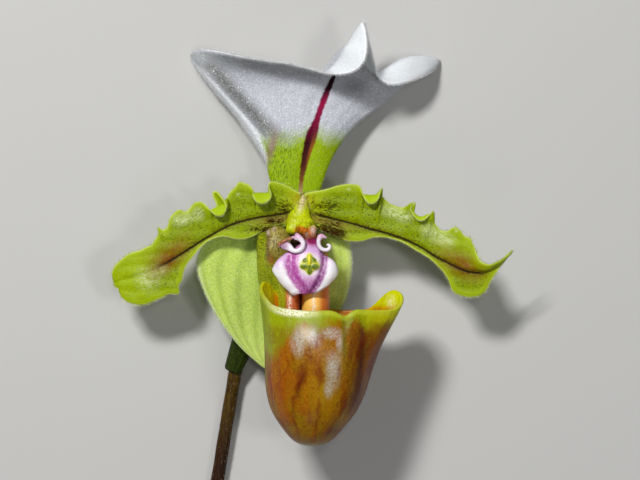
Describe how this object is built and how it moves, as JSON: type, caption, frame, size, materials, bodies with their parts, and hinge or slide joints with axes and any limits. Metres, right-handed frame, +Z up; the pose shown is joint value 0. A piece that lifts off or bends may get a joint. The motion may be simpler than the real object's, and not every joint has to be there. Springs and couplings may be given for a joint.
{
  "type": "slipper orchid bloom",
  "caption": "Cut slipper orchid bloom lying face up, with a hooded white sepal, waved green petals, a pouched brown lip and a length of hairy stem.",
  "frame": {"origin": "middle of the bounding box, on the surface that the bloom lies on", "axes": "+Y from the cut end of the stem to the tip of the dorsal sepal, +Z up, the way the bloom faces"},
  "size_m": [0.066, 0.1106, 0.0245],
  "materials": {
    "dorsal_sepal": "velvety white with fine sparkle, yellow-green foot and maroon midvein",
    "synsepal": "pale green, downy",
    "petal": "waxy yellow-green with fine dark green speckles and a maroon midvein",
    "lip": "glossy olive brown with reddish brown veins and a green rim",
    "staminode": "satin lilac and white with a green boss",
    "column": "satin yellow-green, hairy",
    "ovary": "dull green, hairy",
    "bract": "satin dark green",
    "stem": "purplish brown, short white hairs"
  },
  "bodies": {
    "root": {"dorsal_sepal": "dorsal_sepal", "synsepal": "synsepal", "left_petal": "petal", "right_petal": "petal", "lip": "lip", "staminode": "staminode", "column": "column", "ovary": "ovary", "bract": "bract", "stem": "stem"}
  },
  "joints": []
}
